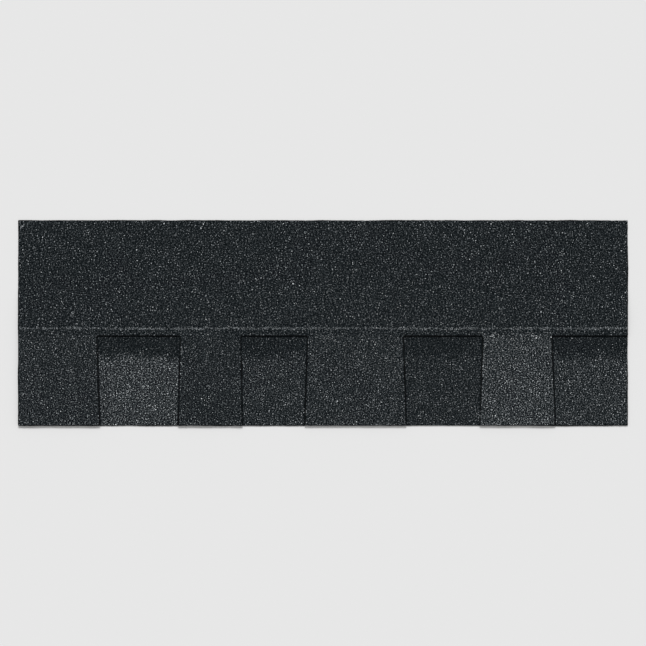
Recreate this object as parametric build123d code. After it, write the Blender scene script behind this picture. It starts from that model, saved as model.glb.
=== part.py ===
from build123d import *

# A laminated asphalt shingle, one unit of the roofing that is laid in overlapping courses. Two granule-surfaced
# plies are bonded together: the top ply is as high as the shingle and has flared teeth cut into its lower part, and
# the lower ply is a plain strip behind the teeth, which shows between them. The shingle lies face up on a level
# floor. Its bonded part stands on the sealant dashes, and above the strip the limp top ply drapes to the floor.
#
# Millimetres. X runs along the course, +Y goes up the roof from the butt edge to the top edge, and +Z is the weather
# side. The origin is below the middle of the shingle, at floor level. A height called "up" is measured along +Y from
# the butt edge.

import os
from itertools import accumulate
from math import atan2, degrees, sin

# The shingle
shingle_length = 1000.0
shingle_height = 337.0  # of the flat sheet, from the butt edge to the top edge
exposure = 143.0  # what stays in sight once the next course is laid
overlay_thickness = 2.6
backer_thickness = 2.5

# Teeth and gaps along the butt edge, from the left end: a tooth, a gap, a tooth and so on. The last stretch runs on
# to the right end. Each cut between two stretches moves sideways by its flare on the way up to the end of the
# exposure, so that every tooth is wider at its foot than at its root.
stretch_widths = [134.0, 128.5, 105.5, 102.0, 166.5, 120.5, 124.0]
cut_flares = [4.5, 3.5, 2.5, 4.5, 4.5, 5.0, 5.5]
narrowest_stretch = 20.0  # a cut nearer than this to the right end isn't made
root_cover = 4.0  # how far the gaps run up past the exposure, under the next course
common_bond = 25.0  # the band above the gaps where both plies are bonded, and where the nails go
root_radius = 2.5
foot_radius = 1.0

# Laminating adhesive, pressed flat between the plies
adhesive_thickness = 0.4
tooth_bead_width = 10.0
first_tooth_bead_up = 14.0
tooth_bead_pitch = 34.0
tooth_bead_inset = 4.0  # from the cut sides of a tooth
bond_bead_width = 16.0

# Self-sealing dashes on the underside, along the butt edge
dash_length = 90.0
dash_width = 12.0
dash_thickness = 0.8
dash_space = 20.0
dash_inset = 7.0
dash_end_margin = 10.0
dash_corner_radius = 3.0

# The drape from the top edge of the backer strip down to the floor
drape_run = 64.0

# Release film, pressed flush into the back of the headlap
film_width = 32.0
film_thickness = 0.12
film_inset = 22.0  # from the top edge

# Places that follow from the sizes above
gap_height = exposure + root_cover
backer_height = gap_height + common_bond
backer_bottom = dash_thickness
backer_top = backer_bottom + backer_thickness
overlay_bottom = backer_top + adhesive_thickness

# The drape is two tangent arcs of one middle radius, the first bending down and the second back to level
drape_angle = 2 * atan2(overlay_bottom, drape_run)
drape_radius = drape_run / (2 * sin(drape_angle))
headlap_run = shingle_height - backer_height - 2 * drape_radius * drape_angle
top_edge_up = backer_height + drape_run + headlap_run

left_end_x = -shingle_length / 2
butt_y = -top_edge_up / 2

# Each cut and each end as its distance along the butt edge and its lean. A tooth's right side leans to the left.
left_end = (0.0, 0.0)
right_end = (shingle_length, 0.0)
cut_feet = accumulate(stretch_widths)
cut_leans = [-flare if i % 2 == 0 else flare for i, flare in enumerate(cut_flares)]
cuts = [(foot, lean) for foot, lean in zip(cut_feet, cut_leans) if foot < shingle_length - narrowest_stretch]
sides = [left_end] + cuts + [right_end]
stretches = list(zip(sides, sides[1:]))
teeth = stretches[0::2]
gaps = stretches[1::2]


def side_point(side, up, inset=0.0):
    """The point at a height on a cut or an end, moved along the shingle by an inset."""
    foot, lean = side
    return (left_end_x + foot + lean * up / exposure + inset, butt_y + up)


def between(sides_pair, low, high, inset=0.0):
    """The flat four-sided face between two cuts or ends and two heights, its slanted sides moved in by an inset."""
    left, right = sides_pair
    corners = [
        side_point(left, low, inset),
        side_point(right, low, -inset),
        side_point(right, high, -inset),
        side_point(left, high, inset),
    ]
    return make_face(Polyline(*corners, close=True))


def sheet_surface(from_middle):
    """The edges of a surface of the draped top ply, seen from its left end, from the butt edge to the top edge."""
    level = overlay_bottom + overlay_thickness / 2 + from_middle
    bonded = Line((butt_y, level), (butt_y + backer_height, level))
    bend_down = JernArc(bonded @ 1, (1, 0), drape_radius + from_middle, -degrees(drape_angle))
    bend_back = JernArc(bend_down @ 1, bend_down % 1, drape_radius - from_middle, degrees(drape_angle))
    resting = Line(bend_back @ 1, bend_back @ 1 + Vector(headlap_run, 0))
    return [bonded, bend_down, bend_back, resting]


def draped_sheet():
    """The top ply before its gaps are cut: one sheet that is flat on the backer and the floor, and bent between."""
    upper = sheet_surface(overlay_thickness / 2)
    lower = sheet_surface(-overlay_thickness / 2)
    butt_end = Line(lower[0] @ 0, upper[0] @ 0)
    top_end = Line(lower[-1] @ 1, upper[-1] @ 1)
    profile = make_face(upper + lower + [butt_end, top_end])
    return extrude(Plane.YZ * profile, amount=shingle_length / 2, both=True)


def toothed_outline():
    """The top ply seen from above, with its flared gaps and with rounded corners at their roots and feet."""
    outline = Rectangle(shingle_length, top_edge_up)
    for gap in gaps:
        outline -= between(gap, 0, gap_height)
    at_height = outline.vertices().group_by(Axis.Y)
    outline = fillet(at_height[1], root_radius)
    return fillet(outline.vertices().group_by(Axis.Y)[0], foot_radius)


def make_toothed_overlay():
    """The top ply, with the shallow seat of the release film in its back."""
    clear = overlay_bottom + overlay_thickness + film_thickness
    blank = extrude(toothed_outline(), amount=clear)
    return (draped_sheet() & blank) - make_release_film()


def make_backer_strip():
    """The lower ply, a plain strip along the whole shingle."""
    strip = Rectangle(shingle_length, backer_height, align=(Align.CENTER, Align.MIN))
    return extrude(Pos(0, butt_y, backer_bottom) * strip, amount=backer_thickness)


def make_laminating_adhesive():
    """The beads that bond the plies: rows under each tooth, and one long bead in the common bond."""
    bond_up = gap_height + common_bond / 2
    beads = [between((left_end, right_end), bond_up - bond_bead_width / 2, bond_up + bond_bead_width / 2)]
    rows = int((gap_height - tooth_bead_width - first_tooth_bead_up) / tooth_bead_pitch) + 1
    for row in range(rows):
        low = first_tooth_bead_up + row * tooth_bead_pitch - tooth_bead_width / 2
        beads += [between(tooth, low, low + tooth_bead_width, tooth_bead_inset) for tooth in teeth]
    return Compound([extrude(Pos(0, 0, backer_top) * bead, amount=adhesive_thickness) for bead in beads])


def make_sealant_dashes():
    """The row of dashes, as many as the shingle's length takes."""
    pitch = dash_length + dash_space
    count = int((shingle_length - 2 * dash_end_margin + dash_space) / pitch)
    dash = extrude(RectangleRounded(dash_length, dash_width, dash_corner_radius), amount=dash_thickness)
    middle_y = butt_y + dash_inset + dash_width / 2
    first_x = -(count - 1) * pitch / 2
    return Compound([Pos(first_x + i * pitch, middle_y, 0) * dash for i in range(count)])


def make_release_film():
    """The thin strip on the back of the headlap, flush with the sheet around it."""
    middle_y = butt_y + top_edge_up - film_inset - film_width / 2
    return extrude(Pos(0, middle_y) * Rectangle(shingle_length, film_width), amount=film_thickness)


os.makedirs("parts", exist_ok=True)
export_step(make_toothed_overlay(), "parts/toothed_overlay.step")
export_step(make_backer_strip(), "parts/backer_strip.step")
export_step(make_laminating_adhesive(), "parts/laminating_adhesive.step")
export_step(make_sealant_dashes(), "parts/sealant_dashes.step")
export_step(make_release_film(), "parts/release_film.step")
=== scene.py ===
"""The looks of a laminated asphalt shingle, lying face up on a plain pale floor and seen from straight above.

The CAD part gives the sizes and places. This script dresses it: rough-cut sheets in place of the plain
plies, a bed of mineral granules on the weather side, domed sealant dashes underneath, and a material on
every surface. Lengths are in metres. "Up" is the distance from the butt edge towards the top edge, along +Y.
"""

from math import atan2, cos, pi, sin

import bpy
import numpy as np
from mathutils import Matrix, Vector
from mathutils.geometry import delaunay_2d_cdt


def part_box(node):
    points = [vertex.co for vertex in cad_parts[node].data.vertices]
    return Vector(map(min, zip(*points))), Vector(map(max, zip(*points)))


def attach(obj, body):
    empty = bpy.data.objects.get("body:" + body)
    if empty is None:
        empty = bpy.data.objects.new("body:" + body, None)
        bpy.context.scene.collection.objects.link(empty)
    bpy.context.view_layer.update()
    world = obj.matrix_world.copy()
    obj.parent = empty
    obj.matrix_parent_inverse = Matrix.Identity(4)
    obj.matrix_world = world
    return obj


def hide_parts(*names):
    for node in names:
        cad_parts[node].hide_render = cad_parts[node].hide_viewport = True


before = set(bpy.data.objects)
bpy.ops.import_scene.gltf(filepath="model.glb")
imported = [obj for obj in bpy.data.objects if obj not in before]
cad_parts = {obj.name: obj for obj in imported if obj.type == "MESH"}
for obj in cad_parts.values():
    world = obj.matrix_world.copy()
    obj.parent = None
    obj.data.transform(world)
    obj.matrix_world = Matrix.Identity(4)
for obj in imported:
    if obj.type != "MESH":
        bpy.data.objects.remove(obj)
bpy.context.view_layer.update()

MM = 0.001
tiny = 1e-12  # keeps a division from failing

# The part's sizes, read from its nodes
overlay_low, overlay_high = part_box("toothed_overlay")
backer_low, backer_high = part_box("backer_strip")
adhesive_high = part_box("laminating_adhesive")[1]
dash_low, dash_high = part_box("sealant_dashes")

left_x, right_x = overlay_low[0], overlay_high[0]
butt_y = overlay_low[1]
top_up = overlay_high[1] - butt_y
backer_up = backer_high[1] - butt_y
backer_bottom, backer_top = backer_low[2], backer_high[2]
overlay_bottom = adhesive_high[2]
overlay_thickness = overlay_high[2] - overlay_bottom

# Sizes that the boxes don't tell. Teeth and gaps alternate along the butt edge from its left end, and each
# cut between them moves sideways by its flare on the way up to the end of the exposure.
exposure = 143 * MM
gap_up = 147 * MM
stretch_widths = np.array([134.0, 128.5, 105.5, 102.0, 166.5, 120.5, 124.0]) * MM
cut_flares = np.array([4.5, 3.5, 2.5, 4.5, 4.5, 5.0, 5.5]) * MM
root_radius = 2.5 * MM
foot_radius = 1.0 * MM
drape_run = 64 * MM
dash_length = 90 * MM
dash_pitch = 110 * MM
dash_radius = 3 * MM
dash_count = 9

# The cuts and the two ends, as their distance along the butt edge and their lean. A tooth's right side leans
# to the left.
leans = cut_flares * np.where(np.arange(len(cut_flares)) % 2 == 0, -1, 1)
side_foot = np.concatenate([[0], np.cumsum(stretch_widths), [right_x - left_x]])
side_lean = np.concatenate([[0], leans, [0]])
stretch_count = len(side_foot) - 1

# The drape of the top ply from the edge of the backer strip down to the floor: two tangent arcs
drape_angle = 2 * atan2(overlay_bottom, drape_run)
drape_radius = drape_run / (2 * sin(drape_angle))

# The sheets' faces. Granules stand in a bed below the ply's nominal surface, and reach up to it at most.
bed_depth = 0.75 * MM
relief_lengths = np.array([61, 83, 47, 110, 35, 29, 140]) * MM
relief_height = 0.08 * MM
back_relief_height = 0.03 * MM
shoulder_drop = 0.45 * MM  # how far the bed goes down at a cut edge
shoulder_reach = 0.7 * MM

# How far apart the sheets' points are, inside and along the edge
overlay_spacing, overlay_step = 4.2 * MM, 2.0 * MM
backer_spacing, backer_step = 4.5 * MM, 2.4 * MM
dash_spacing, dash_step = 2.6 * MM, 2.0 * MM
spacing_jitter = 0.15  # of the spacing
merge_distance = 1e-7  # within which two points are one

# The sheets' rough-cut edges
edge_wobble = 0.25 * MM
wobble_reach = 5  # points along the edge
row_insets = (0.4 * MM, 1.0 * MM, 2.0 * MM)  # of the rows of points that follow the edge
wall_shares = (0.8, 0.6, 0.45, 0.25, 0.08)  # of the thickness, where rows of points go round the wall
wall_bulge = 0.05 * MM
wall_roughness = 0.10 * MM

# The sealant dashes, laid down hot: rounded underneath, with uneven edges
dash_inset = 0.4 * MM  # from the plain dash's outline, which leaves room for the wobble
dash_wobble = 0.3 * MM
dash_clearance = 0.02 * MM  # below the sheet
dash_dome = 0.42 * MM  # how far the lower face rises towards its edge
dash_dome_reach = 1.6 * MM

# Where granules stand, and how far their corners are from their middles
exposed_pitch, exposed_reach = 1.66 * MM, 0.98 * MM
headlap_pitch, headlap_reach = 1.85 * MM, 1.08 * MM
pitch_jitter = 0.33  # of the pitch
headlap_start = gap_up + 0.8 * MM
# The black strips left bare along the cuts are partly real, where granules fall off a cut, and partly painted
# shade: they stand in for the shadow down in the cut between the plies.
bare_and_shade_edge = 2.05 * MM  # from a cut edge to the middles of the nearest granules, so that bare asphalt shows: partly granules lost at the cut, partly painted shade of the cut
bare_and_shade_foot = 2.35 * MM  # the same on the lower ply, along the foot of a tooth's wall: partly squeezed-out asphalt, partly painted shade at the wall's foot
bare_and_shade_raggedness = 0.1 * MM
moved_share = 0.5  # of that distance. Nearer granules are left out, and those from here on are moved away
joint_depth = 5 * MM  # how far one can look in between the plies at the butt edge

# A granule's shape
turn_variety = 0.25  # of the angle between two corners
size_variety = 0.16
nearest_corner, farthest_corner = 0.78, 1.22  # as a share of the granule's size
tilt_variety = 0.12
sunk = 0.18 * MM  # from the bed down to its base
apex_shift = 0.4  # of its size
mean_height, height_variety, tallest = 0.60 * MM, 0.12 * MM, 0.78 * MM

# How light the blend of granules is in each stretch, from the left, as it looks on a screen, 0 to 255. Teeth
# and gaps alternate.
stretch_level = np.array([48.5, 64, 45, 50, 50, 45, 63, 54.5])
band_level = 35  # in the dark shadow band at the top of each gap
headlap_level = 42
paint_level = 140
level_gain = 1.36  # makes up for the light that is lost between granules
granule_variety = 0.37  # how much the levels in a blend differ
drift_share = 0.02  # how much a blend differs from place to place
drift_lengths = np.array([23, 31, 45, 60, 90]) * MM

# The shadow bands and the headlap's blend start at ragged, blurred lines
band_start, band_blur = exposure * 0.80, 9 * MM
band_raggedness, band_lengths = 4 * MM, np.array([19, 33, 52, 95]) * MM
blend_start, blend_blur = gap_up + 4 * MM, 2 * MM
blend_raggedness, blend_lengths = 2.5 * MM, np.array([9, 14, 37, 80]) * MM

# The pale fastener line, painted along the middle of the common bond
paint_up = (gap_up + backer_up) / 2
paint_core, paint_reach = 1.2 * MM, 2.4 * MM  # from its middle: where it starts to fade, and where it ends
paint_share = 0.75  # of the granules in its core
faintest_paint, brightest_paint = 0.6, 1.2  # times its level
paint_wander, paint_lengths = 0.5 * MM, np.array([210, 380]) * MM

# Granules come in a number of tones, evenly spaced between two levels. The map for baked colours is a palette
# with a cell for each tone, and a granule's faces cover a share of their cell.
tone_steps = 48
darkest_level, lightest_level = 6, 225
palette_columns = 8
palette_share = 0.5
stone_tint = (-5, 0, 2.8)  # added to a level, for the red, green and blue of the photographed stone
ramp_stops = 20  # of the ramp from tones to colours

# Floor, light and camera
floor_colour = (0.80, 0.80, 0.80, 1)
floor_half = 12.0  # half of its width
floor_level = -0.02 * MM
lamp_share = 0.55  # of the light on a level surface. The rest comes from all round
lamp_side = Vector((0, 0.65, 0.76)).normalized()  # where the lamp is: far off, past the top edge
lamp_spread = 0.4  # how wide the lamp looks from the floor, in radians, which softens the shadows
lens = 200  # millimetres, long enough for nearly no perspective
picture_width = (right_x - left_x) * 1.06


# Places on the shingle


def side_x(side, up):
    """Where a cut or an end is, at a height up the shingle. Above the roots it goes straight up."""
    return left_x + side_foot[side] + side_lean[side] * np.minimum(up, gap_up) / exposure


def stretch_at(x, up):
    """The number of the stretch that each point is in, from 0 at the left. Even ones are teeth."""
    return sum((x > side_x(side, up)).astype(int) for side in range(1, stretch_count))


def drape_level(up):
    """How high the top ply's underside is, at heights up the shingle."""
    past = np.clip(up - backer_up, 0, drape_run)
    half = np.minimum(past, drape_run - past)
    sagitta = drape_radius - np.sqrt(drape_radius**2 - half**2)
    return np.where(past < drape_run / 2, overlay_bottom - sagitta, sagitta)


def waves(x, up, lengths, seed):
    """A gentle random relief around 0, with a spread of about 0.7: sine waves in all directions."""
    rng = np.random.default_rng(seed)
    total = np.zeros(np.broadcast(x, up).shape)
    for length in lengths:
        turn, phase = rng.uniform(0, 2 * pi, 2)
        total += np.sin(2 * pi * (x * cos(turn) + up * sin(turn)) / length + phase)
    return total / np.sqrt(len(lengths))


def smooth_step(value, low, high):
    """How far a value is on its way between two limits, from 0 to 1, with a smooth start and end."""
    share = np.clip((value - low) / (high - low), 0, 1)
    return share * share * (3 - 2 * share)


# Outlines, and points scattered inside them


def box_corners(low_x, low_up, high_x, high_up):
    """A box's corners, counter-clockwise."""
    return [(low_x, low_up), (high_x, low_up), (high_x, high_up), (low_x, high_up)]


def toothed_corners():
    """The top ply's corners, counter-clockwise from the left end of the butt edge, and their radii."""
    corners, radii = [], []
    for stretch in range(stretch_count):
        is_tooth = stretch % 2 == 0
        up = 0 if is_tooth else gap_up
        corners += [(side_x(stretch, up), up), (side_x(stretch + 1, up), up)]
        radii += [foot_radius if is_tooth else root_radius] * 2
    corners += [(right_x, top_up), (left_x, top_up)]
    return corners, radii + [foot_radius] * 2


def rounded(corners, radii, arc_points=4):
    """A closed outline with its corners rounded off."""
    corners = np.array(corners, float)
    found = []
    for before, corner, after, radius in zip(np.roll(corners, 1, 0), corners, np.roll(corners, -1, 0), radii):
        back = (before - corner) / np.linalg.norm(before - corner)
        on = (after - corner) / np.linalg.norm(after - corner)
        start, end = corner + back * radius, corner + on * radius
        for share in np.linspace(0, 1, arc_points):
            straight = start + (end - start) * share
            found.append(straight + (corner - straight) * 2 * share * (1 - share))
    return np.array(found)


def walked(outline, step):
    """Points along a closed outline, no further apart than a step."""
    found = []
    for start, end in zip(outline, np.roll(outline, -1, 0)):
        count = max(1, int(np.ceil(np.linalg.norm(end - start) / step)))
        found += [start + (end - start) * i / count for i in range(count)]
    return np.array(found)


def unit(ways):
    """The same ways with a length of 1."""
    return ways / np.maximum(np.linalg.norm(ways, axis=1, keepdims=True), tiny)


def outward(loop):
    """The unit normal at each point of a counter-clockwise loop."""
    along = np.roll(loop, -1, 0) - np.roll(loop, 1, 0)
    return unit(np.stack([along[:, 1], -along[:, 0]], 1))


def smooth_noise(count, reach, rng):
    """Random numbers round a loop, with a spread of 1, each like its neighbours within a reach."""
    ring = np.exp(-0.5 * (np.minimum(np.arange(count), count - np.arange(count)) / reach) ** 2)
    mixed = np.fft.ifft(np.fft.fft(rng.normal(size=count)) * np.fft.fft(ring)).real
    return mixed / mixed.std()


def away_from(points, outline):
    """The way to each point from the nearest point of a closed outline."""
    shortest = np.full(len(points), np.inf)
    away = np.zeros(points.shape)
    for start, end in zip(outline, np.roll(outline, -1, 0)):
        along = end - start
        share = np.clip((points - start) @ along / max(along @ along, tiny), 0, 1)
        way = points - start - share[:, None] * along
        length = np.linalg.norm(way, axis=1)
        nearer = length < shortest
        shortest[nearer] = length[nearer]
        away[nearer] = way[nearer]
    return away


def distance_to(points, outline):
    """How far each point is from a closed outline."""
    return np.linalg.norm(away_from(points, outline), axis=1)


def inside(points, outline):
    """Whether each point is inside a closed outline: a ray from it then crosses an odd number of sides."""
    odd = np.zeros(len(points), bool)
    for (ax, ay), (bx, by) in zip(outline, np.roll(outline, -1, 0)):
        crosses = (ay > points[:, 1]) != (by > points[:, 1])
        height = by - ay if by != ay else tiny
        odd ^= crosses & (points[:, 0] < ax + (points[:, 1] - ay) * (bx - ax) / height)
    return odd


def scattered(low, high, pitch, jitter, rng):
    """Rows and columns of points in a box, like a honeycomb's, each moved by up to a share of the pitch."""
    row_pitch = pitch * cos(pi / 6)
    columns = int((high[0] - low[0]) / pitch) + 2
    rows = int((high[1] - low[1]) / row_pitch) + 2
    column, row = np.meshgrid(np.arange(columns), np.arange(rows))
    points = np.stack([low[0] + (column + 0.5 * (row % 2)) * pitch, low[1] + row * row_pitch], 2)
    return points + rng.uniform(-jitter, jitter, points.shape) * pitch


def well_mixed(rows, columns, rng):
    """Random numbers with a spread of 1 on a grid, each moved away from the mean of its eight neighbours."""
    drawn = rng.normal(size=(rows, columns))
    shifts = [(up, across) for up in (-1, 0, 1) for across in (-1, 0, 1) if (up, across) != (0, 0)]
    around = sum(np.roll(drawn, shift, (0, 1)) for shift in shifts) / len(shifts)
    mixed = drawn - around
    return mixed / mixed.std()


overlay_outline = rounded(*toothed_corners())
backer_outline = rounded(box_corners(left_x, 0, right_x, backer_up), [foot_radius] * 4)


# Meshes


def mesh_object(name, points, triangles, material_index=None, smooth=True):
    """An object made of triangles, with each triangle's material index."""
    mesh = bpy.data.meshes.new(name)
    triangles = np.asarray(triangles, np.int32)
    mesh.vertices.add(len(points))
    mesh.vertices.foreach_set("co", np.asarray(points, np.float32).ravel())
    mesh.loops.add(triangles.size)
    mesh.loops.foreach_set("vertex_index", triangles.ravel())
    mesh.polygons.add(len(triangles))
    mesh.polygons.foreach_set("loop_start", np.arange(0, triangles.size, 3, dtype=np.int32))
    if material_index is not None:
        mesh.polygons.foreach_set("material_index", np.asarray(material_index, np.int32))
    mesh.polygons.foreach_set("use_smooth", np.full(len(triangles), smooth))
    mesh.update(calc_edges=True)
    made = bpy.data.objects.new(name, mesh)
    bpy.context.scene.collection.objects.link(made)
    return made


def point_attribute(made, name, values):
    attribute = made.data.attributes.new(name, "FLOAT", "POINT")
    attribute.data.foreach_set("value", np.asarray(values, np.float32))


def joined(name, objects):
    """One object made of several."""
    bpy.ops.object.select_all(action="DESELECT")
    for piece in objects:
        piece.select_set(True)
    bpy.context.view_layer.objects.active = objects[0]
    bpy.ops.object.join()
    objects[0].name = name
    return objects[0]


# Rough-cut sheets


def triangulated(outline, spacing, step, wobble, rng):
    """A flat mesh inside an outline whose edge wobbles: its points, and its triangles."""
    loop = walked(outline, step)
    out = outward(loop)
    off = smooth_noise(len(loop), wobble_reach, rng) * wobble + rng.normal(size=len(loop)) * wobble / 3
    loop = loop + out * off[:, None]
    rows = [loop - out * inset for inset in row_insets]
    rows = [row[inside(row, outline)] for row in rows]
    grid = scattered(outline.min(0), outline.max(0), spacing, spacing_jitter, rng).reshape(-1, 2)
    grid = grid[inside(grid, outline)]
    grid = grid[distance_to(grid, outline) > row_insets[-1] + spacing / 3]
    flat = [Vector(point) for point in np.vstack([loop, *rows, grid])]
    only_inside = 1
    found = delaunay_2d_cdt(flat, [], [list(range(len(loop)))], only_inside, merge_distance)
    return np.array([point[:] for point in found[0]]), np.array(found[2], np.int64)


def rim_of(faces, point_count):
    """The edges that only one triangle has, in that triangle's turning sense."""
    directed = np.vstack([faces[:, [0, 1]], faces[:, [1, 2]], faces[:, [2, 0]]])
    key = directed.min(1) * point_count + directed.max(1)
    _, which, count = np.unique(key, return_inverse=True, return_counts=True)
    return directed[count[which.ravel()] == 1]


def rough_wall(top, bottom, rim, rng):
    """The wall between two faces: its rows of points, how far up the sheet each is, and its triangles.

    The triangles number the top face's points first, then the bottom face's and then the wall's.
    """
    rim_points = np.unique(rim)
    across = top[rim[:, 1], :2] - top[rim[:, 0], :2]
    normal = np.zeros((len(top), 2))
    for end in (0, 1):
        np.add.at(normal, rim[:, end], np.stack([across[:, 1], -across[:, 0]], 1))
    normal = unit(normal[rim_points])

    rows, numbers = [], [rim_points]
    for share in wall_shares:
        row = bottom[rim_points] + (top[rim_points] - bottom[rim_points]) * share
        row[:, :2] += normal * rng.normal(wall_bulge, wall_roughness, len(row))[:, None]
        numbers.append(2 * len(top) + len(rows) * len(row) + np.arange(len(row)))
        rows.append(row)
    numbers.append(rim_points + len(top))

    place = np.full(len(top), -1)
    place[rim_points] = np.arange(len(rim_points))
    start, end = place[rim[:, 0]], place[rim[:, 1]]
    walls = []
    for upper, lower in zip(numbers, numbers[1:]):
        walls.append(np.column_stack([upper[end], upper[start], lower[start]]))
        walls.append(np.column_stack([upper[end], lower[start], lower[end]]))
    return np.vstack(rows), np.repeat(wall_shares, len(rim_points)), np.vstack(walls)


def rough_sheet(name, outline, spacing, step, top_level, bottom_level, wobble=edge_wobble, *, seed):
    """A closed sheet with a rough-cut edge. Its levels are functions of x, up and the distance to the edge.

    Its material slots are the upper face, the cut edge and the lower face. The point attribute "through" goes
    from 0 at the lower face to 1 at the upper one, and "edge_mm" is the distance to the edge.
    """
    rng = np.random.default_rng(seed)
    flat, faces = triangulated(outline, spacing, step, wobble, rng)
    rim = rim_of(faces, len(flat))
    edge = distance_to(flat, outline)
    edge[np.unique(rim)] = 0
    top = np.column_stack([flat, top_level(*flat.T, edge)])
    bottom = np.column_stack([flat, bottom_level(*flat.T, edge)])
    wall_points, wall_through, walls = rough_wall(top, bottom, rim, rng)

    points = np.vstack([top, bottom, wall_points])
    points[:, 1] += butt_y
    triangles = np.vstack([faces, walls, faces[:, ::-1] + len(flat)])
    slots = np.repeat([0, 1, 2], [len(faces), len(walls), len(faces)])
    made = mesh_object(name, points, triangles, slots)
    point_attribute(made, "through", np.concatenate([np.ones(len(flat)), np.zeros(len(flat)), wall_through]))
    point_attribute(made, "edge_mm", np.concatenate([edge, edge, np.zeros(len(wall_points))]) / MM)
    return made


def overlay_surface(x, up):
    """The nominal level of the top ply's weather side."""
    return drape_level(up) + overlay_thickness


def backer_surface(x, up):
    """The nominal level of the lower ply's weather side."""
    return np.full(np.shape(up), backer_top)


def bed_level(surface, x, up):
    """The level of the bed that the granules stand in, which is gently uneven."""
    return surface(x, up) - bed_depth + relief_height * waves(x, up, relief_lengths, seed=11)


def shouldered_bed(surface, x, up, edge):
    """The bed's level, with the rounded shoulder that a cut edge has."""
    return bed_level(surface, x, up) - shoulder_drop * np.exp(-edge / shoulder_reach)


def back_relief(x, up):
    """How far the lower face is above its nominal level, which only parts of it touch."""
    return back_relief_height * np.abs(waves(x, up, relief_lengths / 3, seed=13))


def make_overlay_sheet():
    def top_level(x, up, edge):
        return shouldered_bed(overlay_surface, x, up, edge)

    def bottom_level(x, up, edge):
        return drape_level(up) + back_relief(x, up)

    spacing, step = overlay_spacing, overlay_step
    return rough_sheet("overlay_sheet", overlay_outline, spacing, step, top_level, bottom_level, seed=61)


def make_backer_sheet():
    def top_level(x, up, edge):
        return shouldered_bed(backer_surface, x, up, edge)

    def bottom_level(x, up, edge):
        return backer_bottom + back_relief(x, up)

    spacing, step = backer_spacing, backer_step
    return rough_sheet("backer_sheet", backer_outline, spacing, step, top_level, bottom_level, seed=62)


def dash_outline(number):
    """The outline of a sealant dash, counted from the left."""
    middle_x = (left_x + right_x) / 2 + (number - (dash_count - 1) / 2) * dash_pitch
    middle_up = (dash_low[1] + dash_high[1]) / 2 - butt_y
    width = dash_high[1] - dash_low[1]
    corners = box_corners(
        middle_x - dash_length / 2 + dash_inset,
        middle_up - width / 2 + dash_inset,
        middle_x + dash_length / 2 - dash_inset,
        middle_up + width / 2 - dash_inset,
    )
    return rounded(corners, [dash_radius] * 4, arc_points=6)


def make_dashes():
    def top_level(x, up, edge):
        return np.full(len(x), dash_high[2] - dash_clearance)

    def bottom_level(x, up, edge):
        return dash_dome * np.exp(-edge / dash_dome_reach) + back_relief(x, up)

    spacing, step, wobble = dash_spacing, dash_step, dash_wobble
    made = []
    for number in range(dash_count):
        name, outline = f"dash_{number}", dash_outline(number)
        dash = rough_sheet(name, outline, spacing, step, top_level, bottom_level, wobble, seed=70 + number)
        made.append(dash)
    return joined("sealant_beads", made)


# Granules


def tone_of(level):
    """Where levels lie on the scale of tones, from 0 to 1, in steps."""
    share = (np.clip(level, darkest_level, lightest_level) - darkest_level) / (lightest_level - darkest_level)
    return np.round(share * (tone_steps - 1)) / (tone_steps - 1)


def palette_places(tone):
    """Where the five points of each granule lie in the map for baked colours."""
    cell = np.round(tone * (tone_steps - 1)).astype(int)
    cell_size = np.array([1 / palette_columns, palette_columns / tone_steps])
    middle = (np.stack([cell % palette_columns, cell // palette_columns], 1) + 0.5) * cell_size
    square = np.array([[-1, -1], [1, -1], [1, 1], [-1, 1], [0, 0]]) * cell_size.min() * palette_share / 2
    return (middle[:, None, :] + square).reshape(-1, 2)


def granule_points(middles, surface, mean_size, rng):
    """The five points of each granule: the corners of its base, counter-clockwise, and its apex."""
    count = len(middles)
    x, up = middles.T
    bed = bed_level(surface, x, up)
    turn = rng.uniform(0, 2 * pi, (count, 1))
    angle = turn + (np.arange(4) + rng.uniform(-turn_variety, turn_variety, (count, 4))) * pi / 2
    size = mean_size * rng.lognormal(0, size_variety, (count, 1))
    reach = size * rng.uniform(nearest_corner, farthest_corner, (count, 4))
    tilt = rng.normal(0, tilt_variety, (2, count, 1))
    base_x = x[:, None] + reach * np.cos(angle)
    base_up = up[:, None] + reach * np.sin(angle)
    base_level = bed[:, None] - sunk + reach * (tilt[0] * np.cos(angle) + tilt[1] * np.sin(angle))
    off = size * rng.uniform(-apex_shift, apex_shift, (count, 2))
    height = np.minimum(rng.normal(mean_height, height_variety, count), tallest)
    apex = np.column_stack([middles + off, np.minimum(bed + height, surface(x, up))])
    return np.concatenate([np.stack([base_x, base_up, base_level], 2), apex[:, None, :]], 1)


def granules(name, middles, surface, level, mean_size, seed):
    """Crushed mineral granules at these middles: an irregular four-sided pyramid each, set in the bed.

    The point attribute "tone" is each granule's place on the scale of tones. The map for baked colours is
    called OFBake.
    """
    points = granule_points(middles, surface, mean_size, np.random.default_rng(seed)).reshape(-1, 3)
    points[:, 1] += butt_y
    pyramid = np.array([[0, 1, 4], [1, 2, 4], [2, 3, 4], [3, 0, 4], [0, 2, 1], [0, 3, 2]])
    triangles = (np.arange(len(middles))[:, None, None] * 5 + pyramid).reshape(-1, 3)
    made = mesh_object(name, points, triangles, smooth=False)
    tone = tone_of(level)
    point_attribute(made, "tone", np.repeat(tone, 5))
    layer = made.data.uv_layers.new(name="OFBake")
    layer.uv.foreach_set("vector", palette_places(tone)[triangles.ravel()].astype(np.float32).ravel())
    return made


def mottled(level, points, luck):
    """The levels of single granules from the level of their blend, which drifts a little from place to place.

    Luck is squared, so that a few granules are much lighter than the rest.
    """
    x, up = points.T
    drift = 1 + drift_share * waves(x, up, drift_lengths, seed=21)
    return level_gain * level * drift * (1 + granule_variety * luck) ** 2 / (1 + granule_variety**2)


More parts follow.
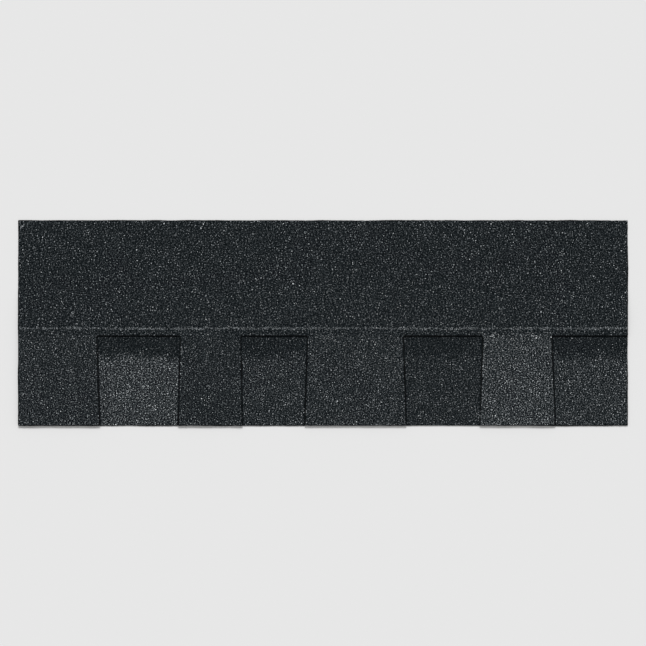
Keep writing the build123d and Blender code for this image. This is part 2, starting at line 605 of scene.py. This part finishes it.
def overlay_level(points, rng):
    """The level of the top ply's blend: each tooth has its own, and the headlap has one for all."""
    x, up = points.T
    stretch = stretch_at(x, up)
    start = blend_start + blend_raggedness * waves(x, 0, blend_lengths, seed=31)
    in_headlap = (stretch % 2 == 1) | (up + rng.normal(0, blend_blur, len(up)) > start)
    return np.where(in_headlap, headlap_level, stretch_level[stretch])


def backer_level(points, rng):
    """The level of the lower ply's blend, with the shadow band."""
    x, up = points.T
    start = band_start + band_raggedness * waves(x, 0, band_lengths, seed=32)
    in_band = rng.uniform(size=len(up)) < smooth_step(up, start - band_blur, start + band_blur)
    return np.where(in_band, band_level, stretch_level[stretch_at(x, up)])


def painted(level, points, rng):
    """The levels with the fastener line painted on, which breaks up where the spray missed a granule."""
    x, up = points.T
    off = np.abs(up - paint_up - paint_wander * waves(x, 0, paint_lengths, seed=33))
    hit = rng.uniform(size=len(up)) < paint_share * (1 - smooth_step(off, paint_core, paint_reach))
    return np.where(hit, paint_level * rng.uniform(faintest_paint, brightest_paint, len(up)), level)


def cleared(points, outline, strip, rng):
    """The points, with those in a strip along an outline moved out of it, and which of them have room."""
    away = away_from(points, outline)
    distance = np.linalg.norm(away, axis=1)
    least = strip + rng.exponential(bare_and_shade_raggedness, len(points))
    moved = points + away * (np.maximum(least / np.maximum(distance, tiny), 1) - 1)[:, None]
    return moved, distance > least * moved_share


def granule_places(outline, low, high, pitch, seed):
    """Where granules stand on a sheet between two corners, and each one's luck, which sets how light it is.

    The third result is the source of random numbers, for what is drawn next.
    """
    rng = np.random.default_rng(seed)
    grid = scattered(low, high, pitch, pitch_jitter, rng)
    luck = well_mixed(*grid.shape[:2], rng).ravel()
    points = grid.reshape(-1, 2)
    on_sheet = inside(points, outline) & (points[:, 0] < high[0]) & (points[:, 1] < high[1])
    points, has_room = cleared(points[on_sheet], outline, bare_and_shade_edge, rng)
    return points[has_room], luck[on_sheet][has_room], rng


def make_tooth_granules():
    low, high = (left_x, 0), (right_x, gap_up)
    points, luck, rng = granule_places(overlay_outline, low, high, exposed_pitch, seed=41)
    level = mottled(overlay_level(points, rng), points, luck)
    return granules("tooth_granules", points, overlay_surface, level, exposed_reach, seed=51)


def make_gap_granules():
    """The granules of the lower ply: in the gaps, and just under the teeth, where the joint shows them."""
    low, high = (left_x, 0), (right_x, gap_up)
    points, luck, rng = granule_places(backer_outline, low, high, exposed_pitch, seed=44)
    moved, has_room = cleared(points, overlay_outline, bare_and_shade_foot, rng)
    from_rim = distance_to(points, overlay_outline)
    in_gap = stretch_at(*points.T) % 2 == 1
    under_rim = ~in_gap & (from_rim < np.where(points[:, 1] < joint_depth, joint_depth, joint_depth / 2))
    kept = (in_gap & has_room) | under_rim
    points = np.where(in_gap[:, None], moved, points)[kept]
    level = mottled(backer_level(points, rng), points, luck[kept])
    return granules("gap_granules", points, backer_surface, level, exposed_reach, seed=54)


def make_headlap_granules(name, low_x, high_x, seed):
    low, high = (low_x, headlap_start), (high_x, top_up)
    points, luck, rng = granule_places(overlay_outline, low, high, headlap_pitch, seed=seed)
    level = painted(mottled(overlay_level(points, rng), points, luck), points, rng)
    return granules(name, points, overlay_surface, level, headlap_reach, seed=seed + 10)


# Materials. Colours are linear, bump depths are real, and scales are in features per metre.


def linear(srgb):
    """A linear colour value from an sRGB one, both from 0 to 1."""
    return srgb / 12.92 if srgb <= 0.04045 else ((srgb + 0.055) / 1.055) ** 2.4


def stone_grey(level):
    """The stone's linear colour at a level, 0 to 255, which is a little bluer than neutral."""
    return (*(linear(max(level + shift, 0) / 255) for shift in stone_tint), 1)


class Nodes:
    """A new material with its Principled shader, and short ways to add nodes and links."""

    def __init__(self, name, specular):
        self.material = bpy.data.materials.new(name)
        self.material.use_nodes = True
        self.tree = self.material.node_tree
        self.shader = self.tree.nodes["Principled BSDF"]
        self.shader.inputs["Specular IOR Level"].default_value = specular

    def add(self, kind, settings=(), **inputs):
        """Adds a node. Settings are its properties, and inputs are values or sockets by their names."""
        node = self.tree.nodes.new(kind)
        for key, value in dict(settings).items():
            setattr(node, key, value)
        for key, value in inputs.items():
            self.put(node.inputs[key.replace("_", " ")], value)
        return node

    def put(self, socket, value):
        if isinstance(value, bpy.types.NodeSocket):
            self.tree.links.new(value, socket)
        else:
            socket.default_value = value

    def attribute(self, name):
        return self.add("ShaderNodeAttribute", {"attribute_name": name}).outputs["Fac"]

    def places(self):
        return self.add("ShaderNodeTexCoord").outputs["Object"]

    def noise(self, scale, detail=3, roughness=0.6, squeeze=(1, 1, 1)):
        """A noise pattern, squeezed along each axis by a factor."""
        places = self.add("ShaderNodeMapping", Vector=self.places(), Scale=squeeze).outputs["Vector"]
        node = self.add("ShaderNodeTexNoise", Vector=places, Scale=scale, Detail=detail, Roughness=roughness)
        return node.outputs["Fac"]

    def grains(self, scale):
        """Small grains side by side: a random number for each, and the distance from its middle."""
        cells = self.add("ShaderNodeTexVoronoi", Vector=self.places(), Scale=scale)
        shade = self.add("ShaderNodeSeparateColor", Color=cells.outputs["Color"]).outputs[0]
        return shade, cells.outputs["Distance"]

    def math(self, operation, first, second=0.0):
        node = self.add("ShaderNodeMath", {"operation": operation})
        self.put(node.inputs[0], first)
        self.put(node.inputs[1], second)
        return node.outputs[0]

    def ramp(self, value, stops):
        """A colour ramp through (place, colour) stops."""
        node = self.add("ShaderNodeValToRGB", Fac=value)
        ramp = node.color_ramp
        while len(ramp.elements) < len(stops):
            ramp.elements.new(0.5)
        for element, (place, colour) in zip(ramp.elements, stops):
            element.position = place
            element.color = colour
        return node.outputs["Color"]

    def mix(self, share, first, second):
        node = self.add("ShaderNodeMix", {"data_type": "RGBA"}, Factor=share, A=first, B=second)
        return node.outputs["Result"]

    def scaled(self, value, limits, results=(0, 1)):
        """A value moved from one pair of limits to another, and held within them."""
        node = self.add("ShaderNodeMapRange", Value=value, From_Min=limits[0], From_Max=limits[1])
        self.put(node.inputs["To Min"], results[0])
        self.put(node.inputs["To Max"], results[1])
        return node.outputs["Result"]

    def finish(self, colour, roughness, height=None, depth=0.0):
        """Puts the colour, the roughness and a bump of a real depth on the shader. Returns the material."""
        self.put(self.shader.inputs["Base Color"], colour)
        self.put(self.shader.inputs["Roughness"], roughness)
        if height is not None:
            bump = self.add("ShaderNodeBump", Height=height, Distance=depth)
            self.put(self.shader.inputs["Normal"], bump.outputs["Normal"])
        return self.material


def granule_material():
    """Ceramic-coated crushed stone: each granule has the grey of its tone, and pale ones are smoother."""
    nodes = Nodes("mineral_granules", specular=0.02)
    tone = nodes.attribute("tone")
    stops = []
    for share in np.linspace(0, 1, ramp_stops):
        stops.append((share, stone_grey(darkest_level + (lightest_level - darkest_level) * share)))
    return nodes.finish(nodes.ramp(tone, stops), nodes.scaled(tone, (0, 1), (0.85, 0.55)))


def bed_material():
    """The asphalt coating, with the finest grains pressed into it. It is bare and black near a cut edge,
    which is partly real bare asphalt and partly painted shade of the cut.
    """
    nodes = Nodes("granule_bed", specular=0.02)
    shade, distance = nodes.grains(scale=1500)
    fine_grains = nodes.ramp(shade, [
        (0.0, stone_grey(10)),
        (0.6, stone_grey(18)),
        (0.9, stone_grey(35)),
        (1.0, stone_grey(65)),
    ])
    # Black near a cut edge: bare asphalt, and partly painted shade of the cut
    bare_asphalt_and_shade = (0.0045, 0.0048, 0.005, 1)
    bareness_and_shade = nodes.scaled(nodes.attribute("edge_mm"), (0.5, 1.3), (1, 0))
    colour = nodes.mix(bareness_and_shade, fine_grains, bare_asphalt_and_shade)
    return nodes.finish(colour, nodes.scaled(shade, (0, 1), (0.85, 0.6)), distance, depth=0.35 * MM)


def edge_material():
    """A ply's cut edge: black asphalt full of stone dust, with the pale broken line of its glass mat."""
    nodes = Nodes("cut_asphalt", specular=0.2)
    dust = nodes.noise(scale=2600, detail=4)
    asphalt = nodes.ramp(dust, [
        (0.42, (0.006, 0.0062, 0.0065, 1)),
        (0.62, (0.022, 0.023, 0.024, 1)),
        (0.74, (0.10, 0.105, 0.11, 1)),
    ])
    glass = (0.13, 0.128, 0.115, 1)
    off_mat = nodes.math("ABSOLUTE", nodes.math("SUBTRACT", nodes.attribute("through"), 0.5))
    in_mat = nodes.scaled(off_mat, (0.05, 0.13), (1, 0))
    fibres = nodes.scaled(nodes.noise(scale=900, detail=2, roughness=0.5, squeeze=(1, 1, 4)), (0.45, 0.6))
    colour = nodes.mix(nodes.math("MULTIPLY", in_mat, fibres), asphalt, glass)
    roughness = nodes.scaled(dust, (0.3, 0.7), (0.75, 0.5))
    return nodes.finish(colour, roughness, nodes.noise(scale=1800, detail=5), depth=0.5 * MM)


def back_material():
    """The back of a ply: asphalt dusted with fine sand, which is dragged a little along the sheet."""
    nodes = Nodes("sanded_back", specular=0.2)
    shade, distance = nodes.grains(scale=2200)
    sand = nodes.ramp(shade, [
        (0.0, (0.010, 0.0102, 0.0105, 1)),
        (0.7, (0.028, 0.0285, 0.029, 1)),
        (1.0, (0.11, 0.11, 0.105, 1)),
    ])
    clean, dusty = (0.011, 0.0112, 0.0115, 1), (0.034, 0.0345, 0.035, 1)
    dusted = nodes.scaled(nodes.noise(scale=45, detail=4, squeeze=(0.25, 1, 1)), (0.35, 0.7))
    colour = nodes.mix(0.6, nodes.mix(dusted, clean, dusty), sand)
    return nodes.finish(colour, nodes.scaled(dusted, (0, 1), (0.5, 0.85)), distance, depth=0.18 * MM)


def asphalt_material(name, smoothest, dust_share):
    """Soft black asphalt that was laid down hot: shiny, faintly wavy, with a little rough dust on it."""
    nodes = Nodes(name, specular=0.5)
    dust = nodes.scaled(nodes.noise(scale=700, detail=5, roughness=0.7), (0.55, 0.8))
    black, dusty = (0.006, 0.006, 0.0065, 1), (0.10, 0.10, 0.095, 1)
    colour = nodes.mix(nodes.math("MULTIPLY", dust, dust_share), black, dusty)
    roughness = nodes.scaled(dust, (0, 1), (smoothest, 0.7))
    return nodes.finish(colour, roughness, nodes.noise(scale=160), depth=0.6 * MM)


def film_material():
    """Release film: thin shiny plastic over the black back, with fine creases across it."""
    nodes = Nodes("film", specular=0.5)
    creases = nodes.noise(scale=60, detail=4, roughness=0.55, squeeze=(3, 0.5, 1))
    colour = nodes.ramp(creases, [
        (0.3, (0.045, 0.047, 0.050, 1)),
        (0.6, (0.075, 0.078, 0.082, 1)),
        (0.75, (0.12, 0.124, 0.128, 1)),
    ])
    return nodes.finish(colour, nodes.scaled(creases, (0.3, 0.7), (0.15, 0.32)), creases, depth=0.5 * MM)


# The pieces

granule_look = granule_material()
bed_look, edge_look, back_look = bed_material(), edge_material(), back_material()
sealant_look = asphalt_material("sealant_asphalt", smoothest=0.22, dust_share=0.35)
adhesive_look = asphalt_material("adhesive_asphalt", smoothest=0.4, dust_share=0.15)


def dress(made, slot, *looks):
    """Gives a piece its materials, in the order of its slots, and sets it on the shingle's one body."""
    for look in looks:
        made.data.materials.append(look)
    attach(made, "root")
    return made


overlay_sheet = dress(make_overlay_sheet(), "granule_surface", bed_look, edge_look, back_look)
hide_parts("toothed_overlay")
backer_sheet = dress(make_backer_sheet(), "backer_granules", bed_look, edge_look, back_look)
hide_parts("backer_strip")
dashes = dress(make_dashes(), "sealant", sealant_look)
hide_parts("sealant_dashes")
dress(make_tooth_granules(), "granule_surface", granule_look)
dress(make_gap_granules(), "backer_granules", granule_look)
dress(make_headlap_granules("headlap_granules_left", left_x, 0, seed=42), "granule_surface", granule_look)
dress(make_headlap_granules("headlap_granules_right", 0, right_x, seed=43), "granule_surface", granule_look)

for node, look in (("laminating_adhesive", adhesive_look), ("release_film", film_material())):
    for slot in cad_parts[node].material_slots:
        slot.material = look


# The stage


def make_floor():
    mesh = bpy.data.meshes.new("floor")
    corners = box_corners(-floor_half, -floor_half, floor_half, floor_half)
    mesh.from_pydata([(*corner, floor_level) for corner in corners], [], [(0, 1, 2, 3)])
    mesh.materials.append(Nodes("floor", specular=0.0).finish(floor_colour, roughness=1.0))
    floor = bpy.data.objects.new("floor", mesh)
    bpy.context.scene.collection.objects.link(floor)


def make_lamp():
    """A wide, far lamp, which lights every place alike."""
    lamp = bpy.data.lights.new("softbox", "SUN")
    lamp.angle = lamp_spread
    lamp.energy = lamp_share * pi / lamp_side.z
    holder = bpy.data.objects.new("softbox", lamp)
    holder.rotation_euler = (-lamp_side).to_track_quat("-Z", "Y").to_euler()
    bpy.context.scene.collection.objects.link(holder)


def make_sky():
    """Even light from all round. The camera and reflections see the floor's colour there."""
    world = bpy.data.worlds.new("sky")
    bpy.context.scene.world = world
    world.use_nodes = True
    tree = world.node_tree
    light = tree.nodes["Background"]
    light.inputs["Color"].default_value = (1, 1, 1, 1)
    light.inputs["Strength"].default_value = 1 - lamp_share
    backdrop = tree.nodes.new("ShaderNodeBackground")
    backdrop.inputs["Color"].default_value = floor_colour

    path = tree.nodes.new("ShaderNodeLightPath")
    seen = path.outputs["Is Camera Ray"]
    for kind in ("Is Glossy Ray", "Is Transmission Ray"):
        either = tree.nodes.new("ShaderNodeMath")
        either.operation = "MAXIMUM"
        tree.links.new(seen, either.inputs[0])
        tree.links.new(path.outputs[kind], either.inputs[1])
        seen = either.outputs[0]
    mix = tree.nodes.new("ShaderNodeMixShader")
    tree.links.new(seen, mix.inputs["Fac"])
    tree.links.new(light.outputs[0], mix.inputs[1])
    tree.links.new(backdrop.outputs[0], mix.inputs[2])
    tree.links.new(mix.outputs[0], tree.nodes["World Output"].inputs["Surface"])


def make_camera():
    """Straight above, as in the photograph, with the shingle nearly as wide as the picture."""
    data = bpy.data.cameras.new("camera")
    data.lens = lens
    holder = bpy.data.objects.new("camera", data)
    holder.location = (0, 0, picture_width * data.lens / data.sensor_width)
    bpy.context.scene.collection.objects.link(holder)
    bpy.context.scene.camera = holder


make_floor()
make_lamp()
make_sky()
make_camera()
bpy.context.scene.view_settings.view_transform = "Standard"
